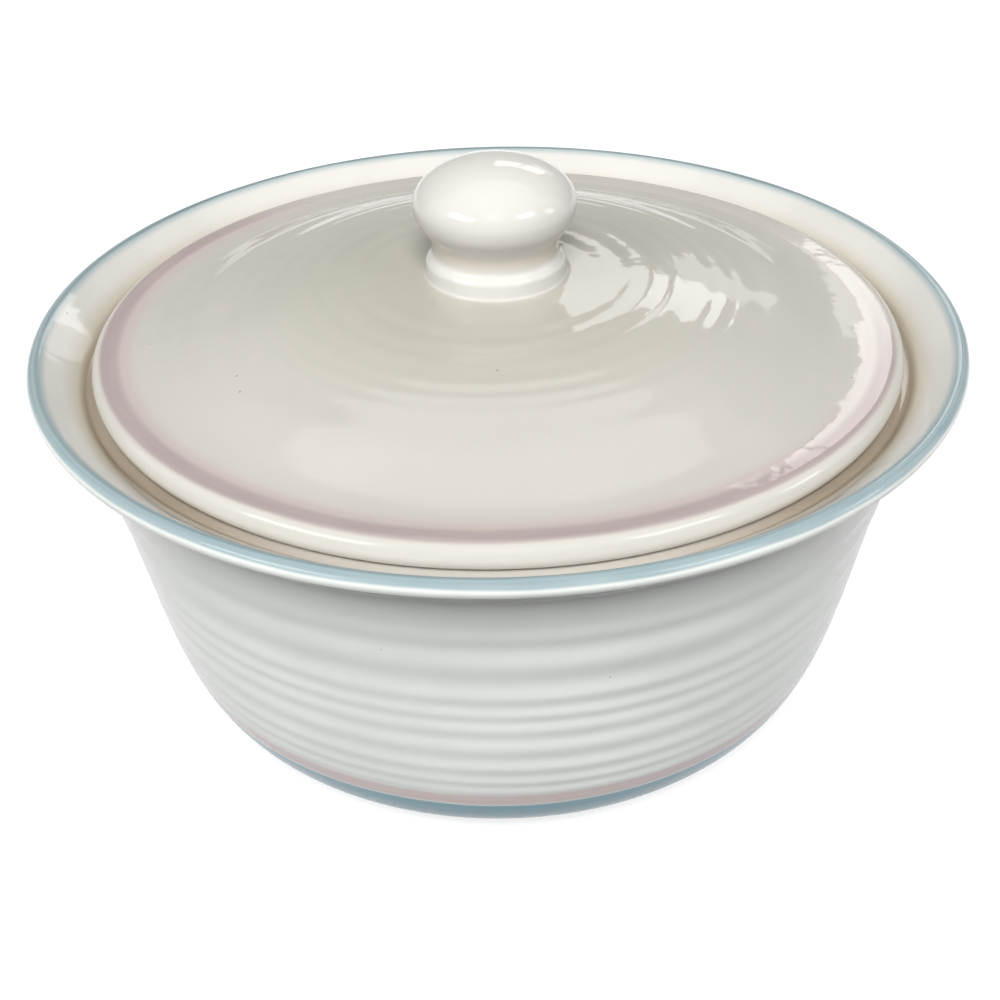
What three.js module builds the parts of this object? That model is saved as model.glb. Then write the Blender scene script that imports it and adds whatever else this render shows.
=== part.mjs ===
// Round covered casserole in glazed stoneware: a flared dish, its domed lid and the lid's knob.
// Millimetres, +Z up. The dish stands on z = 0 and the axis of the pot is the Z axis.
import * as THREE from 'three';

// Dish: rim, with the rounded lip at the top of a flange that opens outwards
const rimRadius = 127;
const dishHeight = 110.4;
const lipThickness = 4.8;
const flangeWidth = 10.2;

// Dish: gallery, the level ledge inside the flange that carries the lid
const galleryDepth = 9.2;
const ledgeWidth = 8.5;
const ledgeThickness = 8.4;
const ledgeOverhang = 2.3;

// Dish: wall and floor, with the reach of the base before it turns up into the leaning wall
const wallThickness = 6.5;
const floorThickness = 7;
const baseReach = 23.6;
const baseRise = 1.3;
const wallLean = 14.1;
const wallSweep = 39.7;

// Dish: foot ring, and the step where the base leaves it
const footRadius = 77;
const footWidth = 8;
const footHeight = 2.5;
const footStep = 1;

// Dish: throwing rings, shallow grooves round the wall from above the foot to below the shoulder
const wallRingPitch = 6.5;
const wallRingDepth = 0.35;
const wallRingsAboveFoot = 23;
const wallRingsBelowShoulder = 24.3;

// Lid: rounded edge, level margin, dome and the level land that carries the knob
const edgeClearance = 1.6;
const edgeThickness = 7.6;
const marginWidth = 9.4;
const domeRise = 15.5;
const landMargin = 1.7;
const lidThickness = 6;

// Lid: collar under the edge, which keeps the lid centred in the gallery
const collarClearance = 1.5;
const collarThickness = 5.5;
const collarDepth = 7;

// Lid: throwing rings round the dome, between its land and its foot
const domeRingPitch = 6;
const domeRingDepth = 0.2;
const domeRingsFromLand = 9;
const domeRingsFromFoot = 23;

// Knob: base roll, waist and rounded head, each height counted from the one before
const knobBaseRadius = 19.3;
const knobRollRadius = 18.9;
const knobRollRise = 3.6;
const knobWaistRadius = 16.9;
const knobWaistRise = 3.9;
const knobHeadRadius = 21.8;
const knobHeadRise = 12.95;
const knobCrownRise = 11.5;

// Exponents of the dome's outline: a flat crown, a full shoulder and a soft foot
const domeCrownPower = 2.6;
const domeFootPower = 1.5;

// Angles in degrees where the lip's round meets the flange, below outside and above inside
const lipStartAngle = -42;
const lipEndAngle = 128;

// Fineness of the solids: facets round the axis and steps along curves
const turnSegments = 48;
const ringSteps = 4;
const roundSteps = 8;
const baseSteps = 6;
const innerSteps = 14;
const domeSteps = 3;
const knobSteps = 6;

// Levels and radii that follow from the sizes above
const lipRadius = lipThickness / 2;
const ledgeHeight = dishHeight - galleryDepth;
const ledgeOuterRadius = rimRadius - lipThickness - flangeWidth;
const ledgeInnerRadius = ledgeOuterRadius - ledgeWidth;
const shoulderRadius = ledgeOuterRadius + ledgeOverhang;
const shoulderHeight = ledgeHeight - ledgeThickness;
const floorTop = footHeight + floorThickness;
const edgeRadius = edgeThickness / 2;
const lidRadius = ledgeOuterRadius - edgeClearance;
const marginTop = ledgeHeight + edgeThickness;
const domeRadius = lidRadius - marginWidth;
const landRadius = knobBaseRadius + landMargin;
const crownTop = marginTop + domeRise;
const collarRadius = ledgeInnerRadius - collarClearance;
const collarInnerRadius = collarRadius - collarThickness;

const point = (radius, height) => new THREE.Vector2(radius, height);

// Points along a round from one angle to another, in degrees, both ends included
function arc(centerRadius, centerHeight, size, startAngle, endAngle) {
  const start = THREE.MathUtils.degToRad(startAngle);
  const end = THREE.MathUtils.degToRad(endAngle);
  const round = new THREE.EllipseCurve(centerRadius, centerHeight, size, size, start, end);
  return round.getPoints(roundSteps);
}

// A band of even shallow grooves, as many as fit at about the given pitch
function grooveBand(start, end, pitch, depth) {
  const count = Math.max(1, Math.round((end - start) / pitch));
  const places = [];
  for (let i = 0; i <= count * ringSteps; i++) {
    places.push(start + ((end - start) * i) / (count * ringSteps));
  }
  const depthAt = (place) => {
    const turns = ((place - start) / (end - start)) * count;
    const inBand = turns > 0 && turns < count;
    return inBand ? depth * Math.sin(Math.PI * turns) ** 2 : 0;
  };
  return { start, end, places, depthAt };
}

// A closed outline, from the axis to the axis, turned about Z
function turned(name, outline, material) {
  const geometry = new THREE.LatheGeometry(outline, turnSegments);
  geometry.rotateX(Math.PI / 2);
  const mesh = new THREE.Mesh(geometry, material);
  mesh.name = name;
  return mesh;
}

// Outer face of the dish's wall: out from the foot, up the leaning side, to the shoulder
const outerWall = new THREE.CubicBezierCurve(
  point(footRadius + footStep, footHeight),
  point(footRadius + footStep + baseReach, footHeight + baseRise),
  point(shoulderRadius - wallLean, shoulderHeight - wallSweep),
  point(shoulderRadius, shoulderHeight),
);

const wallRings = grooveBand(
  footHeight + wallRingsAboveFoot,
  shoulderHeight - wallRingsBelowShoulder,
  wallRingPitch,
  wallRingDepth,
);

// Share of the way along the outer wall at a height, found by halving
function wallShare(height) {
  let low = 0;
  let high = 1;
  while (high - low > 1e-7) {
    const middle = (low + high) / 2;
    if (outerWall.getPoint(middle).y < height) low = middle;
    else high = middle;
  }
  return (low + high) / 2;
}

// Outer wall in even steps below and above the grooves, and finer steps across them
function outerWallPoints() {
  const first = wallShare(wallRings.start);
  const last = wallShare(wallRings.end);
  const shares = [];
  for (let i = 0; i < baseSteps; i++) shares.push((first * i) / baseSteps);
  shares.push(...wallRings.places.map(wallShare));
  for (let i = 1; i <= baseSteps; i++) shares.push(last + ((1 - last) * i) / baseSteps);
  return shares.map((share) => {
    const onCurve = outerWall.getPoint(share);
    return point(onCurve.x - wallRings.depthAt(onCurve.y), onCurve.y);
  });
}

// Inner face, one wall thickness in from the outer face, and never outside the ledge's inner edge
function innerWallPoints() {
  const points = [];
  for (let i = innerSteps; i >= 0; i--) {
    const outer = outerWall.getPoint(i / innerSteps);
    const along = outerWall.getTangent(i / innerSteps);
    const radius = outer.x - along.y * wallThickness;
    const height = outer.y + along.x * wallThickness;
    const betweenFloorAndLedge = height > floorTop && height < ledgeHeight;
    if (betweenFloorAndLedge) points.push(point(Math.min(radius, ledgeInnerRadius), height));
  }
  return points;
}

function dishOutline() {
  const innerWall = innerWallPoints();
  const floorRadius = innerWall[innerWall.length - 1].x - floorThickness;
  return [
    point(0, footHeight),
    point(footRadius - footWidth, footHeight),
    point(footRadius - footWidth, 0),
    point(footRadius, 0),
    ...outerWallPoints(),
    ...arc(rimRadius - lipRadius, dishHeight - lipRadius, lipRadius, lipStartAngle, lipEndAngle),
    point(ledgeOuterRadius, ledgeHeight),
    point(ledgeInnerRadius, ledgeHeight),
    ...innerWall,
    point(floorRadius, floorTop),
    point(0, floorTop),
  ];
}

const domeRings = grooveBand(
  landRadius + domeRingsFromLand,
  domeRadius - domeRingsFromFoot,
  domeRingPitch,
  domeRingDepth,
);

// Height of the dome's top face, before the grooves, at a distance from the axis
function domeHeight(radius) {
  const across = THREE.MathUtils.clamp((radius - landRadius) / (domeRadius - landRadius), 0, 1);
  return marginTop + domeRise * (1 - across ** domeCrownPower) ** domeFootPower;
}

// Top face of the dome from its foot in to the land, finer where the grooves are
function domeTopPoints() {
  const radii = [];
  for (let i = 0; i < domeSteps; i++) {
    radii.push(domeRadius + ((domeRings.end - domeRadius) * i) / domeSteps);
  }
  radii.push(...domeRings.places.toReversed());
  for (let i = 1; i <= domeSteps; i++) {
    radii.push(domeRings.start + ((landRadius - domeRings.start) * i) / domeSteps);
  }
  return radii.map((radius) => point(radius, domeHeight(radius) - domeRings.depthAt(radius)));
}

// Under face of the dome, one lid thickness below the top face, from the land out to the collar
function domeUnderPoints() {
  const points = [];
  for (let i = 0; i <= innerSteps; i++) {
    const radius = landRadius + ((collarInnerRadius - landRadius) * i) / innerSteps;
    points.push(point(radius, domeHeight(radius) - lidThickness));
  }
  return points;
}

function lidOutline() {
  return [
    point(0, crownTop - lidThickness),
    ...domeUnderPoints(),
    point(collarInnerRadius, ledgeHeight - collarDepth),
    point(collarRadius, ledgeHeight - collarDepth),
    point(collarRadius, ledgeHeight),
    ...arc(lidRadius - edgeRadius, ledgeHeight + edgeRadius, edgeRadius, -90, 90),
    ...domeTopPoints(),
    point(0, crownTop),
  ];
}

// A smooth run up between two places of the knob where its side stands upright
function uprightRun(start, end) {
  const middleHeight = (start.y + end.y) / 2;
  const run = new THREE.CubicBezierCurve(
    start,
    point(start.x, middleHeight),
    point(end.x, middleHeight),
    end,
  );
  return run.getPoints(knobSteps);
}

function knobOutline() {
  const roll = point(knobRollRadius, crownTop + knobRollRise);
  const waist = point(knobWaistRadius, roll.y + knobWaistRise);
  const head = point(knobHeadRadius, waist.y + knobHeadRise);
  const crown = new THREE.EllipseCurve(0, head.y, knobHeadRadius, knobCrownRise, 0, Math.PI / 2);
  return [
    point(0, crownTop),
    point(knobBaseRadius, crownTop),
    ...uprightRun(roll, waist),
    ...uprightRun(waist, head).slice(1),
    ...crown.getPoints(knobSteps).slice(1, -1),
    point(0, head.y + knobCrownRise),
  ];
}

const whiteGlaze = new THREE.MeshStandardMaterial({ color: '#e3e6e1', roughness: 0.16, metalness: 0 });
const creamGlaze = new THREE.MeshStandardMaterial({ color: '#e6e2d7', roughness: 0.14, metalness: 0 });
const knobGlaze = new THREE.MeshStandardMaterial({ color: '#e8e6e0', roughness: 0.12, metalness: 0 });

const coveredLid = new THREE.Group();
coveredLid.add(turned('lid', lidOutline(), creamGlaze));
coveredLid.add(turned('lid_knob', knobOutline(), knobGlaze));

const casserole = new THREE.Group();
casserole.add(turned('casserole_dish', dishOutline(), whiteGlaze));
casserole.add(coveredLid);

export default casserole;
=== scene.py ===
"""Looks of a covered stoneware casserole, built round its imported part. Outlines are in millimetres."""

import math

import bpy
import numpy as np
from mathutils import Matrix, Vector


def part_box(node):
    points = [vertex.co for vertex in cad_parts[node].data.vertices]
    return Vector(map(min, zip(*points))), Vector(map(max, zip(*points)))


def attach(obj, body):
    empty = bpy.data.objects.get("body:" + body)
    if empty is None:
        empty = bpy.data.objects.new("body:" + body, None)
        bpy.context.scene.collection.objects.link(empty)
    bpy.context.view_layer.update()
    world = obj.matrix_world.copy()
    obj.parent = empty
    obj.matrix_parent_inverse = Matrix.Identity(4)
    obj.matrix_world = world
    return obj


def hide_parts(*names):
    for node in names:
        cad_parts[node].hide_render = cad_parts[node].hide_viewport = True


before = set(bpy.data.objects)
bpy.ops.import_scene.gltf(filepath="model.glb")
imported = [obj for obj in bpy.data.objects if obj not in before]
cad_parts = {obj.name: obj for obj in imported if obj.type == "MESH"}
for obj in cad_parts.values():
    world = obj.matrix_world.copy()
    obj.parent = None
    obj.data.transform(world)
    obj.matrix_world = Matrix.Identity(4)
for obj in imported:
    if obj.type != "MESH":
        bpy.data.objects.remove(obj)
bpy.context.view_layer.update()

MM = 0.001
dish_high = [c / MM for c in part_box("casserole_dish")[1]]
lid_low, lid_high = ([c / MM for c in corner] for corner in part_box("lid"))
knob_high = [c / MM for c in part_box("lid_knob")[1]]

# Fineness of the turned pieces: facets round the axis, and steps in rounds and along curves
TURN_FACETS = 256
ROUND_STEPS = 12
CURVE_STEP = 0.5
DOME_UNDER_STEPS = 60

# Dish: lip, flange, gallery and shoulder. A pair is a radius and a height.
RIM_RADIUS = dish_high[0]
DISH_HEIGHT = dish_high[2]
LIP_RADIUS = 2.4
LIP_START = -52.0
LIP_END = 128.0
LEDGE_HEIGHT = 101.2
LEDGE_OUTER = 112.0
LEDGE_OUTER_ROUND = 2.5
LEDGE_INNER = 103.5
LEDGE_INNER_ROUND = 1.6
SHOULDER = (114.3, 92.8)
FLANGE_ROOT = (116.3, 98.4)
FLANGE_ROUND = 4.0

# Dish: wall, floor and foot ring. The two pulls shape the curve of the wall.
WALL_THICKNESS = 6.5
WALL_START = (78.0, 2.5)
WALL_BASE_PULL = (101.6, 3.8)
WALL_LEAN_PULL = (100.2, 53.1)
INNER_WALL_ABOVE_FLOOR = 3.0
INNER_WALL_BELOW_LEDGE = 6.0
FLOOR_TOP = 9.5
FLOOR_INSET = 1.5
FLOOR_ROUND = 1.0
FOOT_RADIUS = 77.0
FOOT_WIDTH = 8.0
FOOT_HEIGHT = 2.5
FOOT_INNER_ROUND = 1.0
FOOT_EDGE_ROUND = 0.8
UNDERSIDE_MARGIN = 6.0

# Lid: edge, collar and dome, with the hollow round the foot of the dome
LID_RADIUS = lid_high[0]
EDGE_RADIUS = 3.8
COLLAR_OUTER = 102.0
COLLAR_INNER = 96.5
COLLAR_BOTTOM = lid_low[2]
COLLAR_ROUND = 2.0
SEAT_ROUND = 0.8
LID_THICKNESS = 6.0
CROWN = lid_high[2]
MARGIN_TOP = LEDGE_HEIGHT + 2 * EDGE_RADIUS
DOME_RADIUS = 101.0
LAND_RADIUS = 21.0
DOME_CROWN_POWER = 2.6
DOME_FOOT_POWER = 1.5
HOLLOW_START = 80.0
HOLLOW_DEPTH = 0.7

# Knob: base roll, waist, head and top, with a small fillet where it is joined to the lid
KNOB_FOOT_RADIUS = 19.3
KNOB_FILLET = 1.5
KNOB_ROLL = (18.9, 127.9)
KNOB_WAIST = (16.9, 131.8)
KNOB_HEAD = (knob_high[0], 144.75)
KNOB_TOP = knob_high[2]

# Throwing rings: the places where each finger groove catches most light, and how steep they are
WALL_RINGS = (20.5, 25.3, 29.8, 35.8, 44.4, 51.4, 56.7, 63.5, 76.9, 88.0)
WALL_RING_SLOPE = 0.09
WALL_INSIDE_SHARE = 0.5
LID_RINGS = (28.0, 36.0, 44.3, 52.3, 58.8, 64.1, 68.6, 81.3, 93.0)
LID_RING_SLOPE = 0.055
LID_UNDER_SHARE = 0.6
RING_WANDER = 0.8
RING_FADE_IN = 4.0
RING_FADE_OUT = 6.0

# Finer flutes that the potter's fingers left on the lid round the knob
FLUTES = tuple(np.arange(23.0, 63.0, 4.6))
FLUTE_SLOPE = 0.015

# Glaze outside the dish, by height. A fade goes from none to full, a band from edge to edge.
LIP_FADE = (DISH_HEIGHT - 1.9, DISH_HEIGHT - 1.0)
# Where the painted dark reflection on the crest of the lip fades in
CREST_FADE = (DISH_HEIGHT - 1.2, DISH_HEIGHT)
SATIN_TOP = DISH_HEIGHT - 4.4
SATIN_SOFT = 4.0
PINK_BAND = (18.3, 22.6)
FOOT_BAND = (0.5, 17.6)
BARE_FADE = (0.7, 0.3)

# Glaze inside the dish: lip and flange by radius, ledge by height
LIP_INSIDE_FADE = (RIM_RADIUS - 5.4, RIM_RADIUS - 3.0)
# The line of painted dark reflection inside the lip
LIP_LINE = (RIM_RADIUS - 3.2, RIM_RADIUS - 2.2)
# Where the warm flange and the tan ledge lie; both carry painted shade of the gap under the lid
WARM_BAND = (LEDGE_OUTER - 2.0, LEDGE_OUTER + 4.0)
LEDGE_BAND = (LEDGE_HEIGHT - 1.2, LEDGE_HEIGHT + 1.2)

# Glaze of the lid: crown, lilac band and edge by radius, low edge and knob by height
CROWN_FADE = (82.0, 40.0)
WASH_BAND = (LID_RADIUS - 10.8, LID_RADIUS - 2.2)
LILAC_BAND = (LID_RADIUS - 7.4, LID_RADIUS - 2.6)
EDGE_FADE = (LID_RADIUS - 2.6, LID_RADIUS - 1.6)
# Where the painted light on the lower side of the lid's edge begins
LOW_EDGE_FADE = (MARGIN_TOP - 1.8, MARGIN_TOP - 4.3)
KNOB_FADE = (CROWN + 0.2, CROWN + 1.0)
# Band of painted warm reflection of the lid above the knob's waist
WAIST_BAND = (KNOB_WAIST[1] + 1.0, KNOB_WAIST[1] + 4.0)

# Sides of the pot, by distance behind the axis, where paint, painted shade and painted reflection grow or
# fade
FRONT_FADE = (-75.0, -112.0)
BACK_FADE = (-20.0, 90.0)
FAR_FADE = (60.0, 95.0)
FAR_RIGHT_FADE = (40.0, 100.0)
FAR_RIGHT_SLANT = 0.75

# Surface of the glaze: roughness, depth of its ripple in metres, and its scattered specks
GLOSS = (0.03, 0.08)
SATIN_ROUGHNESS = 0.22
BARE_ROUGHNESS = 0.7
RIPPLE_DEPTH = 0.00012
PAINT_WANDER = 1.0
SPECK_SCALE = 70.0
SPECK_FADE = (0.4, 0.2)

# Card behind the dish: its reach in degrees, distance in metres, grey, and the glow at its foot
CARD_AZIMUTHS = range(115, 246, 10)
CARD_ELEVATIONS = (0, 55)
CARD_DISTANCE = 2.6
CARD_GREY = (0.08, 0.08, 0.07, 1.0)
CARD_GLOW = (1.0, 0.99, 0.94, 1.0)
CARD_FOOT_GLOW = 0.4
CARD_GLOW_TOP = 1.1

# Floor and sky of the studio: light that the floor throws back, its look, and the sky's even level
FLOOR_RADIUS = 6.0
FLOOR_BOUNCE = 0.05
FLOOR_GREY = 0.35
FLOOR_GLOW = 0.72
SKY_LEVEL = 0.06
LAMP_TARGET = Vector((0.0, 0.0, 0.12))

# Camera: place in metres, downward pitch and roll in degrees, lens and sensor in millimetres
CAMERA_PLACE = (-0.0002, -0.44335, 0.33577)
CAMERA_PITCH = 32.74
CAMERA_ROLL = -1.18
CAMERA_LENS = 64.8
CAMERA_SENSOR = 36.0


def arc(center, radius, start, end):
    """Points of a round, in degrees, both ends included."""
    angles = np.radians(np.linspace(start, end, ROUND_STEPS + 1))
    return [(center[0] + radius * math.cos(a), center[1] + radius * math.sin(a)) for a in angles]


def bezier(start, pull_start, pull_end, end):
    """Even steps along a cubic curve, both ends included."""
    corners = np.array([start, pull_start, pull_end, end])
    length = np.linalg.norm(np.diff(corners, axis=0), axis=1).sum()
    share = np.linspace(0.0, 1.0, max(ROUND_STEPS, int(length / CURVE_STEP)))[:, None]
    rest = 1.0 - share
    weights = (rest**3, 3 * rest**2 * share, 3 * rest * share**2, share**3)
    return [tuple(p) for p in sum(w * c for w, c in zip(weights, corners))]


def upright_run(start, end):
    """A smooth run between two places of the knob where its side stands upright."""
    middle = (start[1] + end[1]) / 2
    return bezier(start, (start[0], middle), (end[0], middle), end)


def rounded(before, corner, after, radius):
    """Points of a round of that radius in place of a corner."""
    corner = np.array(corner)
    to_before = np.array(before) - corner
    to_after = np.array(after) - corner
    to_before /= np.linalg.norm(to_before)
    to_after /= np.linalg.norm(to_after)
    half = math.acos(np.clip(to_before @ to_after, -1.0, 1.0)) / 2
    reach = radius / math.tan(half)
    middle = (to_before + to_after) / np.linalg.norm(to_before + to_after)
    center = corner + middle * radius / math.sin(half)
    points = []
    for share in np.linspace(0.0, 1.0, ROUND_STEPS + 1):
        chord = corner + to_before * reach * (1 - share) + to_after * reach * share - center
        points.append(tuple(center + chord / np.linalg.norm(chord) * radius))
    return points


def inner_wall():
    """Inner face, one wall thickness in from the outer face, from the ledge down to the floor."""
    wall = np.array(bezier(WALL_START, WALL_BASE_PULL, WALL_LEAN_PULL, SHOULDER))
    along = np.gradient(wall, axis=0)
    along /= np.linalg.norm(along, axis=1)[:, None]
    inner = wall + WALL_THICKNESS * np.stack([-along[:, 1], along[:, 0]], axis=1)
    above_floor = inner[:, 1] > FLOOR_TOP + INNER_WALL_ABOVE_FLOOR
    below_ledge = inner[:, 1] < LEDGE_HEIGHT - INNER_WALL_BELOW_LEDGE
    every_second = inner[above_floor & below_ledge][::-2]
    return [(min(r, LEDGE_INNER), z) for r, z in every_second]


def dish_outline():
    """Outline of the dish, from the axis under its floor to the axis above it, and the place of its crown.

    The crown is the top of the lip, where the glaze of the outside meets the glaze of the inside.
    """
    foot_inner = FOOT_RADIUS - FOOT_WIDTH
    lip_center = (RIM_RADIUS - LIP_RADIUS, DISH_HEIGHT - LIP_RADIUS)
    lip = arc(lip_center, LIP_RADIUS, LIP_START, LIP_END)
    wall = bezier(WALL_START, WALL_BASE_PULL, WALL_LEAN_PULL, SHOULDER)
    inner = inner_wall()
    floor_edge = (inner[-1][0] - FLOOR_INSET, FLOOR_TOP)
    under = [(0.0, FOOT_HEIGHT), (foot_inner - UNDERSIDE_MARGIN, FOOT_HEIGHT)]
    under += rounded((0.0, FOOT_HEIGHT), (foot_inner, FOOT_HEIGHT), (foot_inner, 0.0), FOOT_INNER_ROUND)
    under += rounded((foot_inner, FOOT_HEIGHT), (foot_inner, 0.0), (FOOT_RADIUS, 0.0), FOOT_EDGE_ROUND)
    under += rounded((foot_inner, 0.0), (FOOT_RADIUS, 0.0), WALL_START, FOOT_EDGE_ROUND)
    outside = wall + rounded(SHOULDER, FLANGE_ROOT, lip[0], FLANGE_ROUND) + lip
    crown = len(under) + len(outside) - ROUND_STEPS // 2
    ledge_outer = (LEDGE_OUTER, LEDGE_HEIGHT)
    ledge_inner = (LEDGE_INNER, LEDGE_HEIGHT)
    inside = rounded(lip[-1], ledge_outer, ledge_inner, LEDGE_OUTER_ROUND)
    inside += rounded(ledge_outer, ledge_inner, inner[0], LEDGE_INNER_ROUND)
    inside += inner
    inside += rounded(inner[-1], floor_edge, (0.0, FLOOR_TOP), FLOOR_ROUND)
    inside += [(floor_edge[0] * share, FLOOR_TOP) for share in (0.8, 0.6, 0.4, 0.2, 0.0)]
    return under + outside + inside, crown


def dome_height(radius):
    """Height of the top of the dome, with a shallow hollow where it turns into the level margin."""
    across = np.clip((radius - LAND_RADIUS) / (DOME_RADIUS - LAND_RADIUS), 0.0, 1.0)
    dome = MARGIN_TOP + (CROWN - MARGIN_TOP) * (1 - across**DOME_CROWN_POWER) ** DOME_FOOT_POWER
    into_hollow = np.clip((radius - HOLLOW_START) / (DOME_RADIUS - HOLLOW_START), 0.0, 1.0)
    return dome - HOLLOW_DEPTH * np.sin(math.pi * into_hollow) ** 2


def knob_outline():
    """Outline of the knob, from its fillet on the lid up to its top on the axis."""
    foot = (KNOB_FOOT_RADIUS, CROWN)
    knob = rounded((LAND_RADIUS, CROWN), foot, KNOB_ROLL, KNOB_FILLET)
    knob += upright_run(KNOB_ROLL, KNOB_WAIST)
    knob += upright_run(KNOB_WAIST, KNOB_HEAD)[1:]
    for x, y in arc((0.0, 0.0), 1.0, 0.0, 90.0)[1:-1]:
        knob.append((KNOB_HEAD[0] * x, KNOB_HEAD[1] + (KNOB_TOP - KNOB_HEAD[1]) * y))
    knob.append((0.0, KNOB_TOP))
    return knob


def lid_outline():
    """Outline of the lid and its knob, from the axis under the dome to the top of the knob."""
    under_radii = np.linspace(LAND_RADIUS, COLLAR_INNER - 2 * COLLAR_ROUND, DOME_UNDER_STEPS)
    under = [(0.0, CROWN - LID_THICKNESS)]
    under += [(r, float(dome_height(r)) - LID_THICKNESS) for r in under_radii]
    inner_corner = (COLLAR_INNER, float(dome_height(COLLAR_INNER)) - LID_THICKNESS)
    collar_in = (COLLAR_INNER, COLLAR_BOTTOM)
    collar_out = (COLLAR_OUTER, COLLAR_BOTTOM)
    seat_corner = (COLLAR_OUTER, LEDGE_HEIGHT)
    edge_center = (LID_RADIUS - EDGE_RADIUS, LEDGE_HEIGHT + EDGE_RADIUS)
    edge = arc(edge_center, EDGE_RADIUS, -90.0, 90.0)
    collar = rounded(under[-1], inner_corner, collar_in, COLLAR_ROUND)
    collar += rounded(inner_corner, collar_in, collar_out, COLLAR_ROUND)
    collar += rounded(collar_in, collar_out, seat_corner, COLLAR_ROUND)
    collar += rounded(collar_out, seat_corner, edge[0], SEAT_ROUND)
    dome_radii = np.arange(edge_center[0] - CURVE_STEP, LAND_RADIUS, -CURVE_STEP)
    dome = [(r, float(dome_height(r))) for r in dome_radii]
    return under + collar + edge + dome + knob_outline()


def camera_side(angles):
    """Angles round the axis, counted from the side that the photograph shows."""
    return angles + math.pi / 2


def ring_relief(place, angles, rings, slope):
    """Throwing rings, uneven round the pot: each groove is steepest, towards the light, at its ring."""
    turn = camera_side(angles)
    place = place + RING_WANDER * (0.6 * np.sin(turn) + 0.4 * np.sin(2 * turn) + 0.2 * np.sin(5 * turn))
    depth = 1.0 + 0.2 * np.sin(3 * turn + 0.5) + 0.15 * np.sin(7 * turn)
    relief = np.zeros_like(place)
    for start, end in zip(rings, rings[1:]):
        pitch = end - start
        wave = -slope * pitch / math.tau * np.sin(math.tau * (place - start) / pitch)
        relief = np.where((place >= start) & (place < end), wave, relief)
    shown = np.minimum((place - rings[0]) / RING_FADE_IN, (rings[-1] - place) / RING_FADE_OUT)
    return relief * depth * np.clip(shown, 0.0, 1.0)


def dish_relief(profile, facing, angles):
    """Rings on the outside of the wall, and fainter ones inside."""
    rings = ring_relief(profile[:, 1, None] + 0 * angles, angles, WALL_RINGS, WALL_RING_SLOPE)
    share = np.where(facing[:, 0] > 0, 1.0, WALL_INSIDE_SHARE)
    return rings * share[:, None]


def lid_relief(profile, facing, angles):
    """Rings and flutes on the top of the dome, and fainter ones under it."""
    radius = profile[:, 0, None] + 0 * angles
    rings = ring_relief(radius, angles, LID_RINGS, LID_RING_SLOPE)
    flutes = ring_relief(radius, angles, FLUTES, FLUTE_SLOPE)
    share = np.where(facing[:, 1] > 0, 1.0, LID_UNDER_SHARE)
    return (rings + flutes) * share[:, None]


def turned(name, outline, relief):
    """A closed piece turned about Z from an outline that starts and ends on the axis."""
    profile = np.array(outline[1:-1])
    along = np.gradient(profile, axis=0)
    facing = np.stack([along[:, 1], -along[:, 0]], axis=1)
    facing /= np.linalg.norm(facing, axis=1)[:, None]
    angles = np.arange(TURN_FACETS) * math.tau / TURN_FACETS
    lift = relief(profile, facing, angles)
    radius = profile[:, 0, None] + facing[:, 0, None] * lift
    height = profile[:, 1, None] + facing[:, 1, None] * lift
    places = np.stack([radius * np.cos(angles), radius * np.sin(angles), height], axis=2) * MM
    vertices = places.reshape(-1, 3).tolist()
    first_pole = len(vertices)
    last_pole = first_pole + 1
    vertices.append((0.0, 0.0, outline[0][1] * MM))
    vertices.append((0.0, 0.0, outline[-1][1] * MM))
    ring_count = len(profile)
    faces = []
    for i in range(TURN_FACETS):
        j = (i + 1) % TURN_FACETS
        faces.append((first_pole, j, i))
        for k in range(ring_count - 1):
            low = k * TURN_FACETS
            high = low + TURN_FACETS
            faces.append((low + i, low + j, high + j, high + i))
        top = (ring_count - 1) * TURN_FACETS
        faces.append((last_pole, top + i, top + j))
    mesh = bpy.data.meshes.new(name)
    mesh.from_pydata(vertices, [], faces)
    mesh.validate()
    mesh.shade_smooth()
    piece = bpy.data.objects.new(name, mesh)
    bpy.context.scene.collection.objects.link(piece)
    return piece


def add(tree, kind, inputs=None, output=0, **settings):
    """A new node with its settings, its inputs linked or set, and the chosen output."""
    new = tree.nodes.new(kind)
    for key, value in settings.items():
        setattr(new, key, value)
    for socket, value in (inputs or {}).items():
        if isinstance(value, bpy.types.NodeSocket):
            tree.links.new(value, new.inputs[socket])
        else:
            new.inputs[socket].default_value = value
    return new.outputs[output]


def times(tree, a, b):
    return add(tree, "ShaderNodeMath", {0: a, 1: b}, operation="MULTIPLY")


def plus(tree, a, b):
    return add(tree, "ShaderNodeMath", {0: a, 1: b}, operation="ADD")


def larger(tree, a, b):
    return add(tree, "ShaderNodeMath", {0: a, 1: b}, operation="MAXIMUM")


def step(tree, value, none, full):
    """0 at one value and before it, 1 at the other and past it, and smooth between."""
    ends = {"Value": value, "From Min": none, "From Max": full}
    return add(tree, "ShaderNodeMapRange", ends, interpolation_type="SMOOTHSTEP")


def fade(tree, value, ends):
    """A step between two places in millimetres."""
    return step(tree, value, ends[0] * MM, ends[1] * MM)


def band(tree, value, ends, low_soft, high_soft):
    """1 between two places in millimetres, with soft edges of the given half widths."""
    low, high = ends
    rises = fade(tree, value, (low - low_soft, low + low_soft))
    falls = fade(tree, value, (high + high_soft, high - high_soft))
    return times(tree, rises, falls)


def spread(tree, value, low, high):
    """A value of 0 to 1 spread from low to high."""
    return add(tree, "ShaderNodeMapRange", {"Value": value, "To Min": low, "To Max": high})


def mix(tree, factor, a, b):
    """Colour a where the factor is 0 and colour b where it is 1."""
    return add(tree, "ShaderNodeMix", {0: factor, 6: a, 7: b}, output=2, data_type="RGBA")


def noise(tree, vector, scale, detail=2.0):
    return add(tree, "ShaderNodeTexNoise", {"Vector": vector, "Scale": scale, "Detail": detail})


def coordinates(tree, vector):
    """The three coordinates of a vector."""
    parts = add(tree, "ShaderNodeSeparateXYZ", {0: vector}).node
    return parts.outputs[0], parts.outputs[1], parts.outputs[2]


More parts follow.
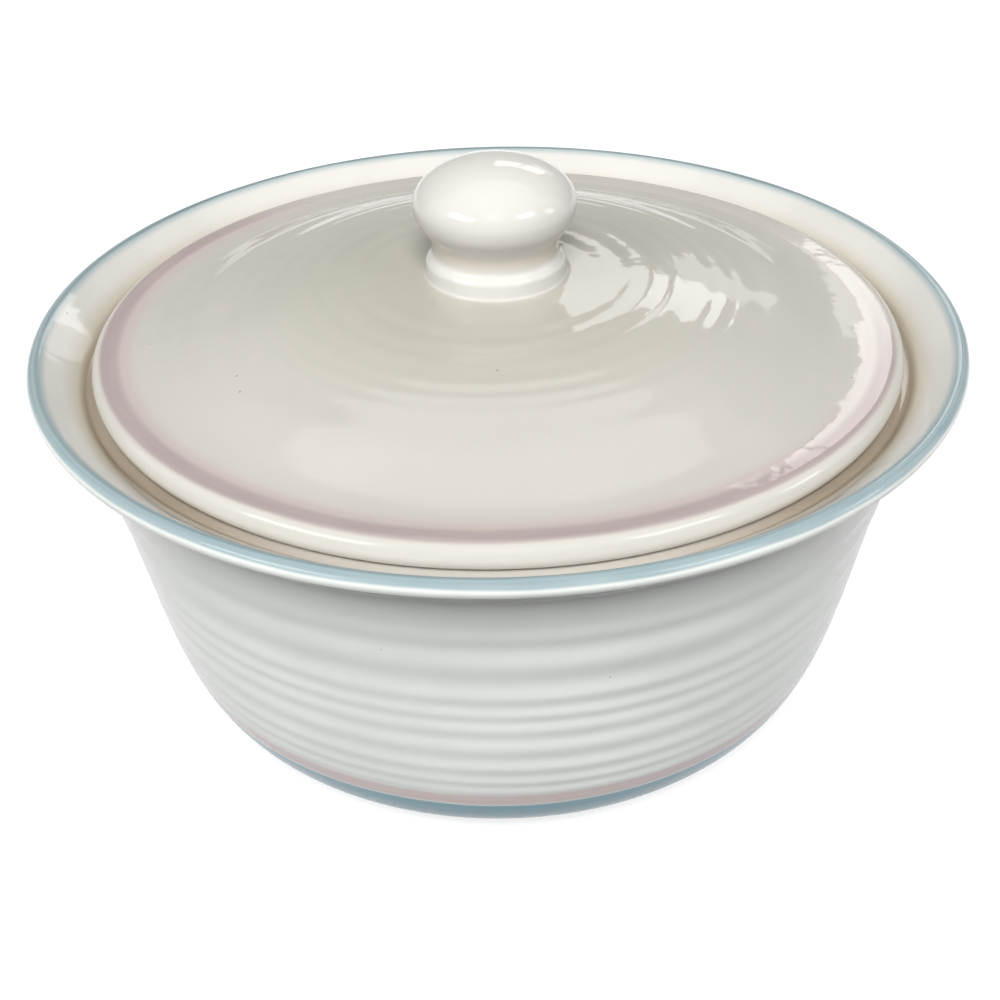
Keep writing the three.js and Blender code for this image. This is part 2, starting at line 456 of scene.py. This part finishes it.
def linear(red, green, blue):
    """A colour in sRGB steps of 0 to 255 as Blender's linear colour."""
    channels = [c / 255 for c in (red, green, blue)]
    return [c / 12.92 if c <= 0.04045 else ((c + 0.055) / 1.055) ** 2.4 for c in channels] + [1.0]


# Colours of the glazes and of the clay
LIP_BLUE = linear(133, 157, 164)
# Darker teal: painted dark reflection of the gap on the lip, strongest along the far contour
LIP_TEAL_REFLECTION = linear(104, 118, 119)
FOOT_BLUE = linear(84, 155, 177)
PINK = linear(216, 194, 192)
LILAC = linear(159, 145, 145)
LILAC_WASH = linear(186, 175, 170)
WHITE = linear(240, 244, 239)
CREAM = linear(189, 186, 177)
CREAM_CROWN = linear(178, 175, 164)
CREAM_INSIDE = linear(206, 204, 198)
LID_EDGE = linear(193, 191, 183)
# Paler on the lower side of the lid's edge: painted light where the gap shades it
LID_EDGE_LOW_LIGHT = linear(208, 206, 199)
# Warm flange and tan ledge: glaze colours darkened with painted shade of the gap under the lid
FLANGE_WARM_AND_SHADE = linear(188, 179, 162)
LEDGE_TAN_AND_SHADE = linear(150, 136, 119)
KNOB_CREAM = linear(208, 206, 200)
# Painted warm reflection of the lid, under the head of the knob
KNOB_WARM_REFLECTION = linear(212, 202, 188)
IRON = linear(146, 130, 112)
BARE_CLAY = linear(214, 200, 180)


class Places:
    """Where each point of a turned piece lies, for the nodes of its glaze.

    Radius and height wander a little, as painted lines do. Front, back and far are 1 on that side of
    the pot and 0 away from it, and far reaches round to the right. Streaks are strokes round the axis.
    """

    def __init__(self, tree):
        self.place = add(tree, "ShaderNodeTexCoord", output=3)
        x, y, z = coordinates(tree, self.place)
        flat = add(tree, "ShaderNodeCombineXYZ", {0: x, 1: y})
        true_radius = add(tree, "ShaderNodeVectorMath", {0: flat}, output=1, operation="LENGTH")
        self.front = fade(tree, y, FRONT_FADE)
        self.back = fade(tree, y, BACK_FADE)
        to_right = plus(tree, times(tree, x, FAR_RIGHT_SLANT), y)
        self.far = larger(tree, fade(tree, to_right, FAR_RIGHT_FADE), fade(tree, y, FAR_FADE))
        wander = times(tree, noise(tree, self.place, 26.0), PAINT_WANDER * MM)
        wander = plus(tree, wander, -PAINT_WANDER / 2 * MM)
        self.radius = plus(tree, true_radius, wander)
        self.height = plus(tree, z, wander)
        around = add(tree, "ShaderNodeVectorMath", {0: flat}, operation="NORMALIZE")
        slow = add(tree, "ShaderNodeVectorMath", {0: around, "Scale": 0.012}, operation="SCALE")
        slow_x, slow_y, _ = coordinates(tree, slow)
        across = plus(tree, true_radius, z)
        stroke = add(tree, "ShaderNodeCombineXYZ", {0: slow_x, 1: slow_y, 2: across})
        self.streaks = noise(tree, stroke, 420.0)


def iron_specks(tree, places, color):
    """A few dark specks, where a scattered point of iron happens to lie in the surface."""
    distance = add(tree, "ShaderNodeTexVoronoi", {"Vector": places.place, "Scale": SPECK_SCALE})
    near = fade(tree, distance, [size * SPECK_SCALE for size in SPECK_FADE])
    return mix(tree, near, color, IRON)


def glaze(name, base, paint, satin_top=0.0):
    """A glaze: faintly mottled base colour, painted bands, iron specks and an uneven, glossy surface.

    Below the height satin_top it is satin, as on the outside of the wall.
    """
    material = bpy.data.materials.new(name)
    material.use_nodes = True
    tree = material.node_tree
    shader = tree.nodes["Principled BSDF"]
    places = Places(tree)
    mottle = noise(tree, places.place, 22.0, 3.0)
    darker = [c * 0.95 for c in base[:3]] + [1.0]
    color = mix(tree, step(tree, mottle, 0.35, 0.65), darker, base)
    color = paint(tree, places, color)
    color = iron_specks(tree, places, color)
    tree.links.new(color, shader.inputs["Base Color"])
    rough = spread(tree, noise(tree, places.place, 60.0), *GLOSS)
    satin = fade(tree, places.height, (satin_top, satin_top - SATIN_SOFT))
    rough = larger(tree, rough, times(tree, satin, SATIN_ROUGHNESS))
    bare = fade(tree, places.height, BARE_FADE)
    rough = larger(tree, rough, times(tree, bare, BARE_ROUGHNESS))
    tree.links.new(rough, shader.inputs["Roughness"])
    ripple = noise(tree, places.place, 110.0)
    bump = add(tree, "ShaderNodeBump", {"Height": ripple, "Strength": 1.0, "Distance": RIPPLE_DEPTH})
    tree.links.new(bump, shader.inputs["Normal"])
    return material


def coat(tree, places, color, mask, thinnest, paint):
    """Paint over a colour where the mask is 1, down to the given thinness along some brush strokes."""
    strokes = spread(tree, places.streaks, thinnest, 1.0)
    return mix(tree, times(tree, mask, strokes), color, paint)


def paint_outside(tree, places, color):
    """Blue over the lip with a darker crest, a pink line above the base, the blue base and the bare foot."""
    lip = fade(tree, places.height, LIP_FADE)
    color = coat(tree, places, color, lip, 0.7, LIP_BLUE)
    # Painted dark reflection on the crest of the lip, strongest along the far contour
    crest = times(tree, fade(tree, places.height, CREST_FADE), spread(tree, places.back, 0.4, 1.0))
    color = coat(tree, places, color, crest, 0.5, LIP_TEAL_REFLECTION)
    pink = band(tree, places.height, PINK_BAND, 0.5, 0.8)
    color = coat(tree, places, color, pink, 0.7, PINK)
    foot = band(tree, places.height, FOOT_BAND, 0.1, 0.4)
    color = coat(tree, places, color, foot, 0.9, FOOT_BLUE)
    return mix(tree, fade(tree, places.height, BARE_FADE), color, BARE_CLAY)


def paint_inside(tree, places, color):
    """Blue over the inside of the lip with a darker line in it, and a warm flange and a tan ledge.

    The warm and tan glaze is partly painted shade of the gap under the lid's edge, fainter in front.
    """
    # Painted shade of the gap beside the lid's edge: full at the sides, a fifth of it in front
    gap_shade = spread(tree, places.front, 1.0, 0.2)
    warm = times(tree, band(tree, places.radius, WARM_BAND, 1.0, 3.0), gap_shade)
    color = mix(tree, warm, color, FLANGE_WARM_AND_SHADE)
    lip = times(tree, fade(tree, places.radius, LIP_INSIDE_FADE), spread(tree, places.front, 0.9, 1.0))
    color = coat(tree, places, color, lip, 0.75, LIP_BLUE)
    # A line of painted dark reflection inside the lip, strongest at the back
    line = times(tree, band(tree, places.radius, LIP_LINE, 0.5, 0.4), spread(tree, places.back, 0.45, 1.0))
    color = coat(tree, places, color, line, 0.5, LIP_TEAL_REFLECTION)
    # Tan ledge, darkened by painted shade of the gap
    ledge = times(tree, band(tree, places.height, LEDGE_BAND, 0.5, 1.0), gap_shade)
    return coat(tree, places, color, ledge, 0.8, LEDGE_TAN_AND_SHADE)


def paint_lid(tree, places, color):
    """A lilac band on the margin, strongest in its outer half and fainter on the far side, and a paler knob.

    The glaze is greyer round the crown and paler on the edge, with painted light on the edge's lower side,
    and warmer above the waist of the knob, which is a painted warm reflection of the lid.
    """
    crown = fade(tree, places.radius, CROWN_FADE)
    color = coat(tree, places, color, crown, 0.7, CREAM_CROWN)
    lilac_strength = spread(tree, places.far, 1.0, 0.1)
    wash = times(tree, band(tree, places.radius, WASH_BAND, 1.6, 0.6), lilac_strength)
    color = coat(tree, places, color, wash, 0.7, LILAC_WASH)
    core = times(tree, band(tree, places.radius, LILAC_BAND, 1.3, 0.6), lilac_strength)
    color = coat(tree, places, color, core, 0.5, LILAC)
    # The lower side of the lid's edge is paler: painted light
    edge_color = mix(tree, fade(tree, places.height, LOW_EDGE_FADE), LID_EDGE, LID_EDGE_LOW_LIGHT)
    color = mix(tree, fade(tree, places.radius, EDGE_FADE), color, edge_color)
    color = mix(tree, fade(tree, places.height, KNOB_FADE), color, KNOB_CREAM)
    # Painted warm reflection of the lid above the waist of the knob
    waist = band(tree, places.height, WAIST_BAND, 2.0, 3.0)
    return coat(tree, places, color, waist, 0.4, KNOB_WARM_REFLECTION)


def glazed_dish():
    """The dish, with white glaze outside up to the crown of its lip and cream glaze inside."""
    outline, lip_crown = dish_outline()
    piece = turned("dish_glazed", outline, dish_relief)
    piece.data.materials.append(glaze("white_glaze", WHITE, paint_outside, satin_top=SATIN_TOP))
    piece.data.materials.append(glaze("cream_glaze_inside", CREAM_INSIDE, paint_inside))
    for face in piece.data.polygons:
        ring = min(face.vertices) // TURN_FACETS
        face.material_index = 1 if ring >= lip_crown else 0
    return piece


def glazed_lid():
    """The lid and its knob, glazed as one."""
    piece = turned("lid_glazed", lid_outline(), lid_relief)
    piece.data.materials.append(glaze("cream_glaze", CREAM, paint_lid))
    return piece


def direction(azimuth, elevation):
    """Unit vector towards a place round the dish, in degrees. Azimuth 0 is the camera's side."""
    turn = math.radians(azimuth)
    rise = math.radians(elevation)
    return Vector((math.sin(turn) * math.cos(rise), -math.cos(turn) * math.cos(rise), math.sin(rise)))


def area_light(name, azimuth, elevation, distance, width, height, power):
    """A soft rectangular lamp aimed at the dish. Azimuth 0 is the camera's side, + to its right."""
    lamp = bpy.data.lights.new(name, "AREA")
    lamp.shape = "RECTANGLE"
    lamp.size = width
    lamp.size_y = height
    lamp.energy = power
    away = direction(azimuth, elevation)
    light = bpy.data.objects.new(name, lamp)
    light.location = LAMP_TARGET + away * distance
    light.rotation_euler = away.to_track_quat("Z", "Y").to_euler()
    bpy.context.scene.collection.objects.link(light)
    return light


def seen_rays(tree):
    """1 for rays that show the background: straight to the camera, mirrored or through glass."""
    rays = tree.nodes.new("ShaderNodeLightPath")
    shown = larger(tree, rays.outputs["Is Camera Ray"], rays.outputs["Is Glossy Ray"])
    return larger(tree, shown, rays.outputs["Is Transmission Ray"])


def studio_world(even, lobes):
    """A white background, and soft light: an even level and lobes from chosen directions.

    A lobe has its direction, the cosine of the angle where it begins, and its strength.
    """
    world = bpy.data.worlds.new("studio")
    world.use_nodes = True
    bpy.context.scene.world = world
    tree = world.node_tree
    sky = add(tree, "ShaderNodeTexCoord")
    light = even
    for toward, edge, strength in lobes:
        along = add(tree, "ShaderNodeVectorMath", {0: sky, 1: toward}, output=1, operation="DOT_PRODUCT")
        lobe = times(tree, step(tree, along, edge, (1.0 + edge) / 2), strength)
        light = plus(tree, lobe, light)
    level = add(tree, "ShaderNodeMix", {0: seen_rays(tree), 2: light, 3: 1.0})
    tree.links.new(level, tree.nodes["Background"].inputs["Strength"])
    tree.nodes["Background"].inputs["Color"].default_value = (1.0, 1.0, 1.0, 1.0)


def studio_floor():
    """A wide white floor that keeps the shadow of the dish."""
    bpy.ops.mesh.primitive_circle_add(vertices=96, radius=FLOOR_RADIUS, fill_type="NGON")
    floor = bpy.context.object
    floor.name = "studio_floor"
    material = bpy.data.materials.new("studio_floor")
    material.use_nodes = True
    tree = material.node_tree
    tree.nodes.remove(tree.nodes["Principled BSDF"])
    bounce = add(tree, "ShaderNodeBsdfDiffuse", {"Color": [FLOOR_BOUNCE] * 3 + [1.0]})
    shadow = add(tree, "ShaderNodeBsdfDiffuse", {"Color": [FLOOR_GREY] * 3 + [1.0]})
    glow = add(tree, "ShaderNodeEmission", {"Color": (1.0, 1.0, 1.0, 1.0), "Strength": FLOOR_GLOW})
    shown = add(tree, "ShaderNodeAddShader", {0: shadow, 1: glow})
    both = add(tree, "ShaderNodeMixShader", {0: seen_rays(tree), 1: bounce, 2: shown})
    tree.links.new(both, tree.nodes["Material Output"].inputs["Surface"])
    floor.data.materials.append(material)
    return floor


def card_material():
    """Dark grey at the top of the card, paler towards the table."""
    material = bpy.data.materials.new("dark_card")
    material.use_nodes = True
    tree = material.node_tree
    shader = tree.nodes["Principled BSDF"]
    shader.inputs["Base Color"].default_value = CARD_GREY
    shader.inputs["Emission Color"].default_value = CARD_GLOW
    height = coordinates(tree, add(tree, "ShaderNodeTexCoord", output=3))[2]
    pale = step(tree, height, CARD_GLOW_TOP, 0.0)
    tree.links.new(times(tree, pale, CARD_FOOT_GLOW), shader.inputs["Emission Strength"])
    return material


def dark_card():
    """A curved card behind the dish, out of the camera's sight, which deepens the lid's reflections."""
    corners = []
    for azimuth in CARD_AZIMUTHS:
        for elevation in CARD_ELEVATIONS:
            corners.append(direction(azimuth, elevation) * CARD_DISTANCE)
    strips = range(0, len(corners) - 2, 2)
    mesh = bpy.data.meshes.new("dark_card")
    mesh.from_pydata(corners, [], [(i, i + 1, i + 3, i + 2) for i in strips])
    mesh.materials.append(card_material())
    card = bpy.data.objects.new("dark_card", mesh)
    card.visible_camera = False
    card.visible_diffuse = False
    bpy.context.scene.collection.objects.link(card)
    return card


def photo_camera():
    """The camera at the photograph's place: half a metre away, looking down at the lid."""
    pitch = math.radians(CAMERA_PITCH)
    roll = math.radians(CAMERA_ROLL)
    forward = Vector((0.0, math.cos(pitch), -math.sin(pitch)))
    level_right = Vector((1.0, 0.0, 0.0))
    level_up = level_right.cross(forward)
    right = level_right * math.cos(roll) + level_up * math.sin(roll)
    up = level_up * math.cos(roll) - level_right * math.sin(roll)
    data = bpy.data.cameras.new("photo_camera")
    data.lens = CAMERA_LENS
    data.sensor_width = CAMERA_SENSOR
    camera = bpy.data.objects.new("photo_camera", data)
    axes = Matrix((right, up, -forward)).transposed()
    camera.matrix_world = Matrix.Translation(CAMERA_PLACE) @ axes.to_4x4()
    bpy.context.scene.collection.objects.link(camera)
    bpy.context.scene.camera = camera


dish = glazed_dish()
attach(dish, "dish")
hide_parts("casserole_dish")

lid = glazed_lid()
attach(lid, "cover")
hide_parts("lid", "lid_knob")

# Stage: floor, sky, card, and lamps with their angles in degrees, sizes in metres and power in watts
studio_floor()
studio_world(SKY_LEVEL, [
    (direction(0, 47), 0.975, 25.6),
    (direction(-40, 45), 0.88, 1.0),
    (direction(180, 25), 0.4, 0.65),
])
dark_card()
area_light("window_left", -55, 36, 2.0, 1.2, 0.6, 10.5)
area_light("window_right", 51, 40, 2.0, 0.8, 0.5, 6.0)
area_light("window_side", 87, 23, 2.2, 0.5, 0.5, 3.0)
area_light("window_back_left", 174, 28, 2.2, 0.37, 0.34, 0.75)
area_light("window_back_right", 162, 28, 2.2, 0.37, 0.34, 1.1)
area_light("window_low_right", 160, 20, 2.2, 0.45, 0.25, 0.35)
photo_camera()

scene = bpy.context.scene
scene.view_settings.view_transform = "Standard"
